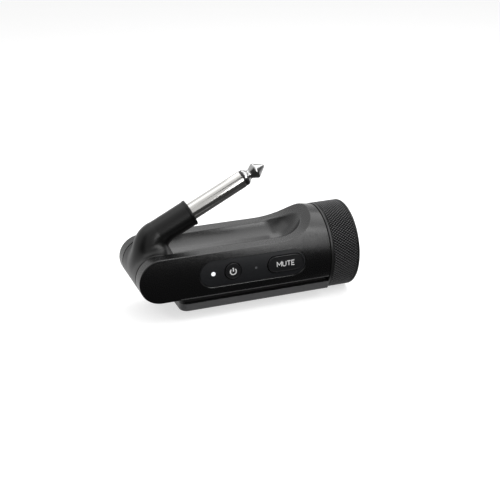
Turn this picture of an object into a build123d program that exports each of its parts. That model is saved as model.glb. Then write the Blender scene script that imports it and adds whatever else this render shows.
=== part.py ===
"""Wireless guitar transmitter with a fold-out quarter-inch plug, a side control strip, a knurled
level ring and a base with side grooves, as separate pieces.

Every function builds its piece about the hinge axis: X runs along the body from the hinge to the
level ring, Y away from the control strip and Z up. save() then moves each piece into the part's
own frame, whose origin is the middle of the bounding box's lowest face. All sizes are millimetres.
"""

import os

from build123d import *

# ---- driving dimensions ------------------------------------------------------------------------
# Body: an oval form that tapers into a round collar, cut to a side profile
CHEEK_R = 8.24
BODY_LEFT = -10.0
BODY_END = 63.9
LEFT_HALF_WIDTH = 14.6
LEFT_HALF_HEIGHT = 26.9
COLLAR_R = 16.05
RING_Z = -0.95
WALL = 1.6
RIM_CURVE = ((43.0, 8.24), (48.5, 8.55), (52.0, 9.3), (55.8, 10.9), (59.1, 13.7), (60.4, 15.8))
OUTER_EDGE_R = 0.25
INNER_EDGE_R = 1.1

# Channel for the folded plug, and the slot for the elbow
CHANNEL_R = 11.5
CHANNEL_Z = 15.2
CHANNEL_END = 46.6
CHANNEL_WALL = 1.5
SLOT_HALF = 9.6
BARREL_CLEARANCE = 0.4

# Level ring, the spigot that carries it and the cap that keeps it on
RING_R = 16.25
RING_START = 64.2
RING_END = 75.8
SPIGOT_R = 13.9
SPIGOT_BORE_R = 12.1
SPIGOT_START = 65.2
SPIGOT_END = 74.6
RING_CLEARANCE = 0.05
SHOULDER_X = 74.3
CAP_R = 14.6
CAP_POCKET_R = 14.9
RIM_WIDTH = 0.9
LINE_WIDTH = 0.25
LINE_DEPTH = 0.3

# Base with a dock groove along each side
BASE_LEFT = 6.8
BASE_RIGHT = 63.85
BASE_HALF = 13.6
BASE_CORNER = 3.0
BASE_BOTTOM = -13.15
BASE_CHAMFER = 0.35
FLANGE_TOP = -7.7
FLANGE_LOW = -8.1
GROOVE_LOW = -10.25
GROOVE_START = 8.2
GROOVE_WALL_HALF = 11.6
BASE_FLOOR = 1.4
BASE_POST = 1.4
PLATE_TOP = -6.8
PLATE_GAP = 0.06

# Folding plug, built lying along +X and then raised
REST_ANGLE = 26.4
PLUG_Z = 10.3
BOOT_R = 4.85
BOOT_END = 22.7
NECK_X = 4.0
BARREL_R = 8.24
BARREL_HALF = 9.3
PLUG_R = 3.175
PLUG_ROOT_R = 2.9
SLEEVE_START = 13.0
SLEEVE_BORE_R = 2.2
SLEEVE_END = 44.8
TIP_START = 45.8
INSULATOR_R = 3.0
# Distance from the tip's base, and radius there
TIP_PROFILE = (
    (0.0, 3.1),
    (0.7, 2.95),
    (1.9, 1.85),
    (2.5, 1.8),
    (4.5, 3.0),
    (5.0, 2.95),
    (8.1, 0.75),
    (8.5, 0.3),
    (8.6, 0.0),
)
TIP_ROD_R = 1.1

# Hinge pins
PIN_R = 2.5
PIN_BORE_R = 1.3
PIN_INNER = 5.0
PIN_OUTER = 11.6
BUSH_R = 3.6
PIN_RUNNING_GAP = 0.03
LEAD_Y = 12.4
LEAD_R = 0.4
LEAD_BORE_R = 0.7

# Control strip
STRIP_Z = 0.35
STRIP_R = 5.15
STRIP_LEFT = 13.8
STRIP_RIGHT = 54.1
STRIP_MIDDLE = (STRIP_LEFT + STRIP_RIGHT) / 2
STRIP_DEPTH = 0.45
STRIP_BEVEL = 45.0
SIDE_SLOPE = -(COLLAR_R - LEFT_HALF_WIDTH) / (BODY_END - BODY_LEFT)
STRIP_FLOOR_Y = -LEFT_HALF_WIDTH + SIDE_SLOPE * (STRIP_MIDDLE - BODY_LEFT) + STRIP_DEPTH
PANEL_EDGE = 0.15
PANEL_THICK = 0.5
PAD_INSET = 3.0
POWER_X = 26.2
POWER_R = 3.0
MUTE_X = 46.25
MUTE_R = 3.05
MUTE_HALF = 6.8
BUTTON_GAP = 0.3
BUTTON_TOP = 0.1
BUTTON_BACK = 1.35
POCKET_INSET = 2.0
PLUNGER_R = 1.0
PLUNGER_GAP = 0.05
STATUS_X = 18.8
STATUS_R = 0.95
MUTE_LAMP_X = 34.9
MUTE_LAMP_R = 0.7

# Boards, cell and screws
CONTROL_BOARD_Y = -11.0
BOARD = 0.8
SWITCH_TOP_Y = -11.85
PLUNGER_END_Y = -12.3
BAY_START = 10.5
BAY_END = 62.2
MAIN_BOARD_Z = -2.2
BOARD_HOLES = ((18.9, -7.0), (18.9, 7.0), (53.6, -7.6), (53.6, 7.6))
SCREW_X = (14.2, 58.0)
SCREW_Y = 9.2
BOSS_R = 2.4
BOSS_TOP = -1.6
INSERT_R = 1.6
INSERT_LENGTH = 4.0
SCREW_R = 1.0
HEAD_R = 1.9
HEAD_HEIGHT = 0.9
HEAD_LOW = -8.9
USB_HALF_WIDTH = 4.47
USB_HALF_HEIGHT = 1.63

FRAME_X = -(RING_END - CHEEK_R) / 2
FRAME_Z = RING_R - RING_Z
FAR = 60.0


# ---- helpers -----------------------------------------------------------------------------------
def save(name, *solids):
    """Write the solids as one node, moved from the hinge's axes into the part's frame."""
    placed = [Location((FRAME_X, 0, FRAME_Z)) * solid for solid in solids]
    shape = placed[0] if len(placed) == 1 else Compound(children=placed)
    export_step(shape, f"parts/{name}.step")


def block(x0, x1, y0, y1, z0, z1):
    """A box between three pairs of limits."""
    middle = ((x0 + x1) / 2, (y0 + y1) / 2, (z0 + z1) / 2)
    return Location(middle) * Box(x1 - x0, y1 - y0, z1 - z0)


def rod_x(radius, x0, x1, y=0.0, z=RING_Z):
    """A cylinder along X."""
    return Location(((x0 + x1) / 2, y, z), (0, 90, 0)) * Cylinder(radius, x1 - x0)


def rod_y(radius, y0, y1, x=0.0, z=0.0):
    """A cylinder along Y."""
    return Location((x, (y0 + y1) / 2, z), (90, 0, 0)) * Cylinder(radius, y1 - y0)


def rod_z(radius, z0, z1, x, y):
    """A cylinder along Z."""
    return Location((x, y, (z0 + z1) / 2)) * Cylinder(radius, z1 - z0)


def tube_x(radius, bore, x0, x1, z=RING_Z):
    """A tube along X."""
    return rod_x(radius, x0, x1, z=z) - rod_x(bore, x0 - 1, x1 + 1, z=z)


def form(inset=0.0):
    """The tapering oval that the outer surface follows, shrunk by an inset."""
    # The far oval is a hair taller than it is wide, so both ovals start at the same place.
    hair = 0.002
    near = Plane((BODY_LEFT, 0, 0), x_dir=(0, 1, 0), z_dir=(1, 0, 0))
    far = Plane((BODY_END, 0, RING_Z), x_dir=(0, 1, 0), z_dir=(1, 0, 0))
    near_oval = near * Ellipse(LEFT_HALF_WIDTH - inset, LEFT_HALF_HEIGHT - inset)
    far_oval = far * Ellipse(COLLAR_R - inset, COLLAR_R - inset + hair)
    return loft([near_oval, far_oval])


def side_profile():
    """The body seen from the side, as a prism through its width."""
    top = RIM_CURVE[-1][1]
    curve = Spline(*RIM_CURVE, tangents=[(1, 0), (0.5, 0.87)])
    rim = Line((0, CHEEK_R), RIM_CURVE[0])
    rest = Polyline(RIM_CURVE[-1], (BODY_END, top), (BODY_END, -CHEEK_R), (0, -CHEEK_R))
    nose = ThreePointArc((0, -CHEEK_R), (-CHEEK_R, 0), (0, CHEEK_R))
    face = make_face([rim, curve, rest, nose])
    return extrude(Plane.XZ * face, amount=FAR / 2, both=True)


def channel(extra=0.0, start=-2 * CHEEK_R):
    """The round-bottomed trough with a ball-shaped end."""
    radius = CHANNEL_R + extra
    trough = rod_x(radius, start, CHANNEL_END, z=CHANNEL_Z)
    return trough + Location((CHANNEL_END, 0, CHANNEL_Z)) * Sphere(radius)


def bay():
    """The hollow inside the body, open underneath."""
    room_top = CHEEK_R - WALL
    outline = Polyline(
        (BAY_START, -CHEEK_R - 1),
        (BAY_START, room_top),
        (53.0, room_top),
        (BAY_END - 2.5, 10.5),
        (BAY_END, 10.5),
        (BAY_END, -CHEEK_R - 1),
        (BAY_START, -CHEEK_R - 1),
    )
    prism = extrude(Plane.XZ * make_face([outline]), amount=FAR / 2, both=True)
    return (form(WALL) & prism) - channel(CHANNEL_WALL)


def pill(x0, x1, radius, depth):
    """A prism with round ends that reaches in from the control side to a depth in Y."""
    plane = Plane((0, depth, STRIP_Z), x_dir=(1, 0, 0), z_dir=(0, -1, 0))
    straight = x1 - x0 - 2 * radius
    outline = Pos((x0 + x1) / 2, 0) * SlotCenterToCenter(straight, 2 * radius)
    return extrude(plane * outline, amount=FAR / 2)


def power_prism(extra=0.0):
    """The outline of the power button, grown by an extra margin."""
    return rod_y(POWER_R + extra, -FAR / 2, 0, POWER_X, STRIP_Z)


def mute_prism(extra=0.0):
    """The outline of the mute button, grown by an extra margin."""
    half = MUTE_HALF + extra
    return pill(MUTE_X - half, MUTE_X + half, MUTE_R + extra, 0.0)


def raised(shape):
    """Turn a piece of the plug arm up to the angle it rests at."""
    return Rotation(0, -REST_ANGLE, 0) * shape


# ---- housing -----------------------------------------------------------------------------------
def main_shell():
    """Cheeks, channel, collar and spigot, hollow and open underneath."""
    outer = form() & side_profile()
    soft = [e for e in outer.edges() if is_rim_edge(e)]
    outer = fillet(soft, OUTER_EDGE_R)
    solid = outer - channel()
    inner = [e for e in solid.edges() if is_channel_edge(e)]
    solid = fillet(inner, INNER_EDGE_R)
    solid += rod_x(SPIGOT_R, BODY_END - 1, SPIGOT_END) & block(
        BODY_END, SPIGOT_END, -FAR, FAR, -FAR, FAR
    )
    solid -= rod_x(SPIGOT_BORE_R, SPIGOT_START, SPIGOT_END + 1)
    solid -= bay()
    solid -= block(BAY_END - 1, SPIGOT_START + 1, -8.5, 8.5, PLATE_TOP, 5.0)
    hole_top = PLATE_TOP + INSERT_LENGTH + 0.6
    for x in SCREW_X:
        for y in (-SCREW_Y, SCREW_Y):
            boss = rod_z(BOSS_R, PLATE_TOP, BOSS_TOP, x, y)
            near, far = sorted((y, y * 1.6))
            rib = block(x - 1.2, x + 1.2, near, far, PLATE_TOP, BOSS_TOP)
            solid += (boss + rib) & form(WALL / 2)
            solid -= rod_z(INSERT_R, PLATE_TOP - 1, hole_top, x, y)
    reach = BARREL_R + BARREL_CLEARANCE
    solid -= block(-FAR, 0, -SLOT_HALF, SLOT_HALF, -FAR, FAR)
    solid -= rod_y(reach, -SLOT_HALF, SLOT_HALF)
    solid -= block(-1, reach, -SLOT_HALF, SLOT_HALF, -FAR, 0)
    solid -= rod_y(PIN_R, -PIN_OUTER, PIN_OUTER)
    solid -= rod_y(PIN_BORE_R, PIN_OUTER - 1, LEAD_Y + 0.7)
    solid -= rod_x(LEAD_BORE_R, -LEAD_BORE_R, BAY_START + 1, y=LEAD_Y, z=0)
    edge = FLANGE_TOP + PLATE_GAP
    solid -= block(BASE_LEFT - PLATE_GAP, BODY_END, -FAR, FAR, -FAR, edge)
    return with_control_side(solid)


def with_control_side(solid):
    """Thicken the wall behind the control strip, then cut its recess, openings and guides."""
    pad = pill(STRIP_LEFT + 1, STRIP_RIGHT - 1, STRIP_R - 1, -5.0)
    solid += (pad & form(WALL / 2)) - form(PAD_INSET)
    floor = Plane(
        (STRIP_MIDDLE, STRIP_FLOOR_Y, STRIP_Z),
        x_dir=(1, SIDE_SLOPE, 0),
        z_dir=(SIDE_SLOPE, -1, 0),
    )
    straight = STRIP_RIGHT - STRIP_LEFT - 2 * STRIP_R
    outline = floor * SlotCenterToCenter(straight, 2 * STRIP_R)
    solid -= extrude(outline, amount=3, taper=-STRIP_BEVEL) - form(STRIP_DEPTH)
    seat = pill(STRIP_LEFT + PANEL_EDGE, STRIP_RIGHT - PANEL_EDGE, STRIP_R - PANEL_EDGE, -2.0)
    solid -= seat - form(STRIP_DEPTH + PANEL_THICK)
    pocket = power_prism(BUTTON_GAP) + mute_prism(BUTTON_GAP)
    solid -= pocket - form(POCKET_INSET)
    for x in (POWER_X, MUTE_X):
        solid -= rod_y(PLUNGER_R + PLUNGER_GAP, -FAR / 2, -8, x, STRIP_Z)
    for x, radius in ((STATUS_X, STATUS_R), (MUTE_LAMP_X, MUTE_LAMP_R)):
        solid -= rod_y(radius, -FAR / 2, -8, x, STRIP_Z)
    return solid


def is_rim_edge(edge):
    """Pick the long edges between the side faces and the rim."""
    middle = edge.center()
    box = edge.bounding_box()
    if edge.length < 3:
        return False
    if abs(middle.Y) < 2 and middle.X > 1:
        return False
    if box.max.X > BODY_END - 0.5 and box.min.X > BODY_END - 0.5:
        return False
    return True


def is_channel_edge(edge):
    """Pick the edges where the trough meets the rim."""
    middle = edge.center()
    box = edge.bounding_box()
    reach = max(abs(box.min.Y), abs(box.max.Y))
    on_top = box.min.Z > CHEEK_R - 0.05
    return on_top and reach < 11.3 and box.min.X > -9 and edge.length > 1 and middle.X > 1


def base_rail():
    """The base: a plate inside the shell, a flange under its edge and a bar with side grooves."""
    plate = form(WALL + PLATE_GAP) & block(
        BAY_START + PLATE_GAP, BAY_END - PLATE_GAP, -FAR, FAR, FLANGE_TOP, PLATE_TOP
    )
    flange = form() & block(BASE_LEFT, BASE_RIGHT, -FAR, FAR, FLANGE_LOW, FLANGE_TOP)
    bar = block(BASE_LEFT, BASE_RIGHT, -BASE_HALF, BASE_HALF, BASE_BOTTOM, FLANGE_TOP)
    corners = [e for e in bar.edges().filter_by(Axis.Z) if e.center().X < BASE_LEFT + 0.1]
    bar = fillet(corners, BASE_CORNER)
    low = [e for e in bar.edges() if abs(e.center().Z - BASE_BOTTOM) < 0.01]
    bar = chamfer([e for e in low if e.center().X < BASE_RIGHT - 0.1], BASE_CHAMFER)
    for side in (-1, 1):
        y0, y1 = sorted((side * GROOVE_WALL_HALF, side * FAR))
        bar -= block(GROOVE_START, BASE_RIGHT + 1, y0, y1, GROOVE_LOW, FLANGE_LOW)
    solid = plate + flange + bar
    post = HEAD_R + BASE_POST
    pocket_start, pocket_end = SCREW_X[0] + post, SCREW_X[1] - post
    half = GROOVE_WALL_HALF - BASE_FLOOR
    solid -= block(pocket_start, pocket_end, -half, half, BASE_BOTTOM + BASE_FLOOR, 0)
    for x in SCREW_X:
        for y in (-SCREW_Y, SCREW_Y):
            solid -= rod_z(SCREW_R + 0.15, BASE_BOTTOM - 1, PLATE_TOP + 1, x, y)
            solid -= rod_z(HEAD_R + 0.1, BASE_BOTTOM - 1, HEAD_LOW + HEAD_HEIGHT, x, y)
    return solid


def base_screws():
    """Four pan-head screws that hold the plate to the bosses."""
    screws = []
    head_top = HEAD_LOW + HEAD_HEIGHT
    for x in SCREW_X:
        for y in (-SCREW_Y, SCREW_Y):
            head = rod_z(HEAD_R, HEAD_LOW, head_top, x, y)
            head -= Location((x, y, HEAD_LOW + 0.25), (0, 0, 30)) * Box(2.4, 0.6, 0.5)
            head -= Location((x, y, HEAD_LOW + 0.25), (0, 0, 120)) * Box(2.4, 0.6, 0.5)
            shank = rod_z(SCREW_R, head_top, PLATE_TOP + INSERT_LENGTH - 0.5, x, y)
            screws.append(head + shank)
    return screws


def brass_inserts():
    """Threaded sleeves set in the bosses."""
    inserts = []
    for x in SCREW_X:
        for y in (-SCREW_Y, SCREW_Y):
            outer = rod_z(INSERT_R, PLATE_TOP, PLATE_TOP + INSERT_LENGTH, x, y)
            groove = rod_z(INSERT_R + 1, PLATE_TOP + 1.6, PLATE_TOP + 2.2, x, y)
            groove -= rod_z(INSERT_R - 0.25, PLATE_TOP, PLATE_TOP + 4, x, y)
            bore = rod_z(SCREW_R, PLATE_TOP - 1, PLATE_TOP + INSERT_LENGTH + 1, x, y)
            inserts.append(outer - groove - bore)
    return inserts


def control_panel():
    """The thin printed panel on the floor of the strip."""
    gap = PANEL_EDGE + 0.03
    outline = pill(STRIP_LEFT + gap, STRIP_RIGHT - gap, STRIP_R - gap, -2.0)
    sheet = (outline & form(STRIP_DEPTH)) - form(STRIP_DEPTH + PANEL_THICK)
    sheet -= power_prism(BUTTON_GAP) + mute_prism(BUTTON_GAP)
    sheet -= rod_y(STATUS_R, -FAR / 2, -8, STATUS_X, STRIP_Z)
    sheet -= rod_y(MUTE_LAMP_R, -FAR / 2, -8, MUTE_LAMP_X, STRIP_Z)
    return sheet


def control_board():
    """The upright board behind the control strip."""
    board = block(
        17.2, 55.2, CONTROL_BOARD_Y, CONTROL_BOARD_Y + BOARD, STRIP_Z - 4.6, STRIP_Z + 4.0
    )
    for x in (18.6, 53.8):
        board -= rod_y(0.6, CONTROL_BOARD_Y - 1, CONTROL_BOARD_Y + 2, x, STRIP_Z - 3.4)
    return board


def tact_switch(x):
    """A low square switch with a round actuator that faces the control strip."""
    body = block(
        x - 1.8, x + 1.8, CONTROL_BOARD_Y - 0.6, CONTROL_BOARD_Y, STRIP_Z - 1.8, STRIP_Z + 1.8
    )
    return body + rod_y(0.8, SWITCH_TOP_Y, CONTROL_BOARD_Y - 0.3, x, STRIP_Z)


def lamp(x):
    """A square light source on the board."""
    body = block(
        x - 0.7, x + 0.7, CONTROL_BOARD_Y - 0.5, CONTROL_BOARD_Y, STRIP_Z - 0.7, STRIP_Z + 0.7
    )
    return body + rod_y(0.5, CONTROL_BOARD_Y - 0.65, CONTROL_BOARD_Y - 0.4, x, STRIP_Z)


def light_pipe(x, radius):
    """A clear pin that carries the light to the strip's surface."""
    pin = rod_y(radius - 0.02, -FAR / 2, CONTROL_BOARD_Y - 0.75, x, STRIP_Z)
    flange = rod_y(radius + 0.35, CONTROL_BOARD_Y - 1.05, CONTROL_BOARD_Y - 0.75, x, STRIP_Z)
    return (pin & form(STRIP_DEPTH - 0.08)) + flange


def main_board():
    """The flat board above the cell."""
    board = block(17.2, 55.2, -8.6, 8.6, MAIN_BOARD_Z, MAIN_BOARD_Z + BOARD)
    for x, y in BOARD_HOLES:
        board -= rod_z(0.65, MAIN_BOARD_Z - 1, MAIN_BOARD_Z + 2, x, y)
    return board


def board_screws():
    """Small screws through the corners of the main board."""
    screws = []
    for x, y in BOARD_HOLES:
        head = rod_z(1.0, MAIN_BOARD_Z + BOARD, MAIN_BOARD_Z + BOARD + 0.6, x, y)
        head -= block(x - 1.1, x + 1.1, y - 0.15, y + 0.15, MAIN_BOARD_Z + 1.1, MAIN_BOARD_Z + 2)
        screws.append(head + rod_z(0.6, MAIN_BOARD_Z - 0.6, MAIN_BOARD_Z + BOARD, x, y))
    return screws


def radio_can():
    """The shielding can over the radio, hollow underneath."""
    base = MAIN_BOARD_Z + BOARD
    can = block(36.0, 47.0, -5.0, 5.0, base, base + 1.7)
    return can - block(36.3, 46.7, -4.7, 4.7, base - 1, base + 1.4)


def board_chips():
    """The processor, the converter and a few small parts on the main board."""
    base = MAIN_BOARD_Z + BOARD
    chips = [
        block(23.0, 28.0, -2.5, 2.5, base, base + 0.9),
        block(30.5, 33.5, 1.0, 4.0, base, base + 0.8),
        block(30.5, 33.5, -3.5, -1.5, base, base + 0.7),
        block(20.0, 21.6, -4.5, -3.2, base, base + 0.6),
        block(20.0, 21.6, 3.2, 4.5, base, base + 0.6),
        block(38.0, 42.0, -1.8, 1.8, base, base + 0.9),
    ]
    return chips


def antenna():
    """A folded strip antenna at the far end of the main board."""
    base = MAIN_BOARD_Z + BOARD
    strip = block(49.5, 50.5, -6.0, 6.0, base, base + 0.4)
    for y in (-6.0, -2.0, 2.0):
        strip += block(50.3, 53.6, y, y + 0.8, base, base + 0.4)
        strip += block(50.3, 53.6, y + 2.0, y + 2.8, base, base + 0.4)
        strip += block(52.8, 53.6, y, y + 2.8, base, base + 0.4)
    return strip


def battery_cell():
    """A flat pouch cell between the plate and the main board."""
    cell = block(18.0, 53.0, -7.4, 7.4, -6.2, -3.0)
    cell = fillet(cell.edges().filter_by(Axis.X), 1.0)
    return cell + block(16.9, 18.2, -5.5, 5.5, -5.2, -4.0)


def battery_pad():
    """The foam pad that holds the cell off the plate."""
    return block(20.0, 51.0, -6.0, 6.0, PLATE_TOP + 0.02, -6.22)


def battery_leads():
    """Two leads from the cell up to the main board."""
    leads = []
    for y in (-1.2, 1.2):
        lead = rod_x(LEAD_R, 15.9, 16.88, y=y, z=-4.6)
        lead += Location((15.9, y, -4.6)) * Sphere(LEAD_R)
        lead += rod_z(LEAD_R, -4.6, -0.9, 15.9, y)
        lead += Location((15.9, y, -0.9)) * Sphere(LEAD_R)
        lead += rod_x(LEAD_R, 15.9, 19.0, y=y, z=-0.9)
        leads.append(lead)
    return leads


def hinge_pins():
    """Two hollow pins set in the cheeks."""
    pins = []
    for side in (-1, 1):
        y0, y1 = sorted((side * PIN_INNER, side * PIN_OUTER))
        pins.append(rod_y(PIN_R, y0, y1) - rod_y(PIN_BORE_R, y0 - 1, y1 + 1))
    return pins


def hinge_leads():
    """The pair of leads from the hollow pin along the cheek to the main board."""
    lead = tube_path([(0, 5.4, 0), (0, LEAD_Y, 0), (12.4, LEAD_Y, 0), (17.9, 7.6, -1.0)])
    return lead


def tube_path(points, radius=LEAD_R):
    """A round lead through a row of points, with ball corners."""
    solid = None
    for start, end in zip(points, points[1:]):
        line = Edge.make_line(start, end)
        plane = Plane(start, z_dir=Vector(*end) - Vector(*start))
        piece = extrude(plane * Circle(radius), amount=line.length)
        solid = piece if solid is None else solid + piece
    for point in points[1:-1]:
        solid += Location(point) * Sphere(radius)
    return solid


def sensor_board():
    """The round board inside the spigot that reads the level ring."""
    board = rod_x(SPIGOT_BORE_R - 0.3, 66.6, 66.6 + BOARD)
    return board - block(66, 68, -3.5, 3.5, RING_Z - 13, RING_Z - 10.6)


def hall_sensors():
    """The magnetic sensors near the rim of the round board."""
    sensors = []
    for y, z in ((9.6, 0.0), (-9.6, 0.0), (0.0, 9.6)):
        sensors.append(
            block(67.4, 68.3, y - 1.0, y + 1.0, RING_Z + z - 1.0, RING_Z + z + 1.0)
        )
    return sensors


def usb_prism(extra, x0, x1):
    """The rounded outline of the charging port, grown by an extra margin."""
    width = 2 * (USB_HALF_WIDTH + extra)
    height = 2 * (USB_HALF_HEIGHT + extra)
    plane = Plane((x0, 0, RING_Z), x_dir=(0, 1, 0), z_dir=(1, 0, 0))
    return extrude(plane * SlotOverall(width, height), amount=x1 - x0)


def usb_shell():
    """The metal shell of the charging port."""
    return usb_prism(0, 67.4, RING_END - 0.3) - usb_prism(-0.3, 68.4, RING_END + 1)


def usb_tongue():
    """The contact tongue inside the port."""
    return block(68.4, 73.6, -3.3, 3.3, RING_Z - 0.35, RING_Z + 0.35)


def flex_cable():
    """The flat cable from the main board through the bulkhead to the round board."""
    y = 4.0
    low = MAIN_BOARD_Z + BOARD
    cable = block(53.9, 66.0, -y, y, low, low + 0.25)
    cable += block(65.75, 66.0, -y, y, low, low + 4.0)
    return cable + block(65.75, 66.58, -y, y, low + 2.4, low + 4.0)


def end_cap():
    """The cap that closes the spigot and keeps the level ring on."""
    cap = rod_x(CAP_R, SPIGOT_END, RING_END - 0.1)
    cap = chamfer(cap.edges().filter_by(lambda e: e.center().X > RING_END - 0.2), 0.25)
    skirt = tube_x(SPIGOT_BORE_R - 0.03, SPIGOT_BORE_R - 1.2, 70.5, SPIGOT_END)
    cap += skirt
    return cap - usb_prism(0.05, SPIGOT_END - 1, RING_END + 1)


# ---- level ring --------------------------------------------------------------------------------
def level_ring():
    """The ring that turns on the spigot, with a magnet pocket at every quarter."""
    ring = rod_x(RING_R, RING_START, RING_END)
    rims = [e for e in ring.edges() if e.geom_type == GeomType.CIRCLE]
    ring = fillet(rims, 0.45)
    for x in (RING_START + RIM_WIDTH, RING_END - RIM_WIDTH - LINE_WIDTH):
        ring -= tube_x(RING_R + 1, RING_R - LINE_DEPTH, x, x + LINE_WIDTH)
    ring -= rod_x(SPIGOT_R + RING_CLEARANCE, RING_START - 1, SHOULDER_X + 0.01)
    ring -= rod_x(CAP_POCKET_R, SHOULDER_X, RING_END + 1)
    for magnet in magnets(0.02):
        ring -= magnet
    return ring


def magnets(extra=0.0):
    """Four small magnets around the ring."""
    pieces = []
    for turn in range(4):
        rod = Location((69.4, 0, SPIGOT_R + 0.85)) * Cylinder(1.0 + extra, 1.2 + 2 * extra)
        pieces.append(Location((0, 0, RING_Z)) * (Rotation(90 * turn + 45, 0, 0) * rod))
    return pieces


# ---- folding plug ------------------------------------------------------------------------------
def plug_elbow():
    """The rubber elbow: a barrel between the cheeks, a neck and the boot round the plug."""
    barrel = rod_y(BARREL_R, -BARREL_HALF, BARREL_HALF)
    boot = rod_x(BOOT_R, NECK_X, BOOT_END, z=PLUG_Z)
    lip = rod_x(BOOT_R + 0.15, BOOT_END - 0.9, BOOT_END, z=PLUG_Z)
    bend = Location((NECK_X, 0, PLUG_Z)) * Sphere(BOOT_R)
    neck = loft(
        [
            Plane((0, 0, 1.5)) * Ellipse(7.7, BARREL_HALF - 0.1),
            Plane((1.6, 0, 6.2)) * Ellipse(6.3, 6.6),
            Plane((3.9, 0, PLUG_Z - 0.7)) * Ellipse(4.5, 4.6),
        ]
    )
    solid = bend + boot + lip
    solid += neck
    solid += barrel
    solid -= rod_x(PLUG_ROOT_R, SLEEVE_START, BOOT_END + 1, z=PLUG_Z)
    solid -= rod_x(2.6, 5.0, SLEEVE_START + 0.5, z=PLUG_Z)
    solid -= rod_z(2.0, 0, PLUG_Z, 6.0, 0)
    for side in (-1, 1):
        y0, y1 = sorted((side * (PIN_INNER - 0.1), side * (BARREL_HALF + 1)))
        solid -= rod_y(BUSH_R, y0, y1)
    solid -= rod_y(2.0, -PIN_INNER, PIN_INNER)
    solid -= block(0, 6.0, -1.4, 1.4, -1.4, 1.4)
    return raised(solid)


def hinge_bushes():
    """Plain bearings in the barrel that turn on the pins."""
    bushes = []
    bore = PIN_R + PIN_RUNNING_GAP
    for side in (-1, 1):
        y0, y1 = sorted((side * (PIN_INNER - 0.1), side * BARREL_HALF))
        bushes.append(rod_y(BUSH_R, y0, y1) - rod_y(bore, y0 - 1, y1 + 1))
    return bushes


def plug_sleeve():
    """The long metal sleeve of the plug, with a narrower root inside the boot."""
    sleeve = rod_x(PLUG_R, BOOT_END, SLEEVE_END, z=PLUG_Z)
    sleeve += rod_x(PLUG_ROOT_R, SLEEVE_START, BOOT_END, z=PLUG_Z)
    return raised(sleeve - rod_x(SLEEVE_BORE_R, SLEEVE_START - 1, SLEEVE_END + 1, z=PLUG_Z))


def plug_insulator():
    """The ring between sleeve and tip, with the tube that runs inside the sleeve."""
    ring = rod_x(INSULATOR_R, SLEEVE_END, TIP_START, z=PLUG_Z)
    tube = rod_x(SLEEVE_BORE_R, SLEEVE_START - 1.0, SLEEVE_END, z=PLUG_Z)
    bore = rod_x(TIP_ROD_R, SLEEVE_START - 2.0, TIP_START + 1, z=PLUG_Z)
    return raised(ring + tube - bore)


def plug_tip():
    """The turned tip, with the rod that carries it through the sleeve."""
    outline = Polyline(*[(TIP_START + x, PLUG_Z + r) for x, r in TIP_PROFILE])
    close = Polyline((TIP_START + TIP_PROFILE[-1][0], PLUG_Z), (TIP_START, PLUG_Z))
    first = Line((TIP_START, PLUG_Z), (TIP_START, PLUG_Z + TIP_PROFILE[0][1]))
    face = Plane.XZ * make_face([outline, close, first])
    tip = revolve(face, axis=Axis((0, 0, PLUG_Z), (1, 0, 0)), revolution_arc=360)
    rod = rod_x(TIP_ROD_R, SLEEVE_START - 2.6, TIP_START + 0.1, z=PLUG_Z)
    return raised(tip + rod)


def tip_lug():
    """The solder tag on the end of the tip's rod."""
    lug = block(8.6, SLEEVE_START - 1.1, -1.7, 1.7, PLUG_Z - 1.7, PLUG_Z + 1.7)
    lug -= block(8.0, SLEEVE_START - 1.6, -2, 2, PLUG_Z - 1.3, PLUG_Z + 2)
    lug = lug - rod_x(TIP_ROD_R, 8, 14, z=PLUG_Z)
    return raised(lug)


def plug_leads():
    """The pair of leads from the plug down to the barrel."""
    inner = tube_path(
        [(8.4, -0.7, PLUG_Z - 1.5), (6.0, -0.7, PLUG_Z - 2.5), (6.0, -0.7, 0.4), (1.4, -0.7, 0.4)]
    )
    outer = tube_path(
        [(8.4, 0.7, PLUG_Z - 1.5), (6.0, 0.7, PLUG_Z - 2.5), (6.0, 0.7, 0.4), (1.4, 0.7, 0.4)]
    )
    return [raised(inner), raised(outer)]


# ---- buttons -----------------------------------------------------------------------------------
def button_cap(prism):
    """A button whose face follows the side of the body."""
    return (prism & form(BUTTON_TOP)) - form(BUTTON_BACK)


def plunger(x):
    """The stem that passes through the wall to the switch."""
    stem = rod_y(PLUNGER_R, -FAR / 2, PLUNGER_END_Y, x, STRIP_Z)
    return stem & form(BUTTON_BACK)


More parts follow.
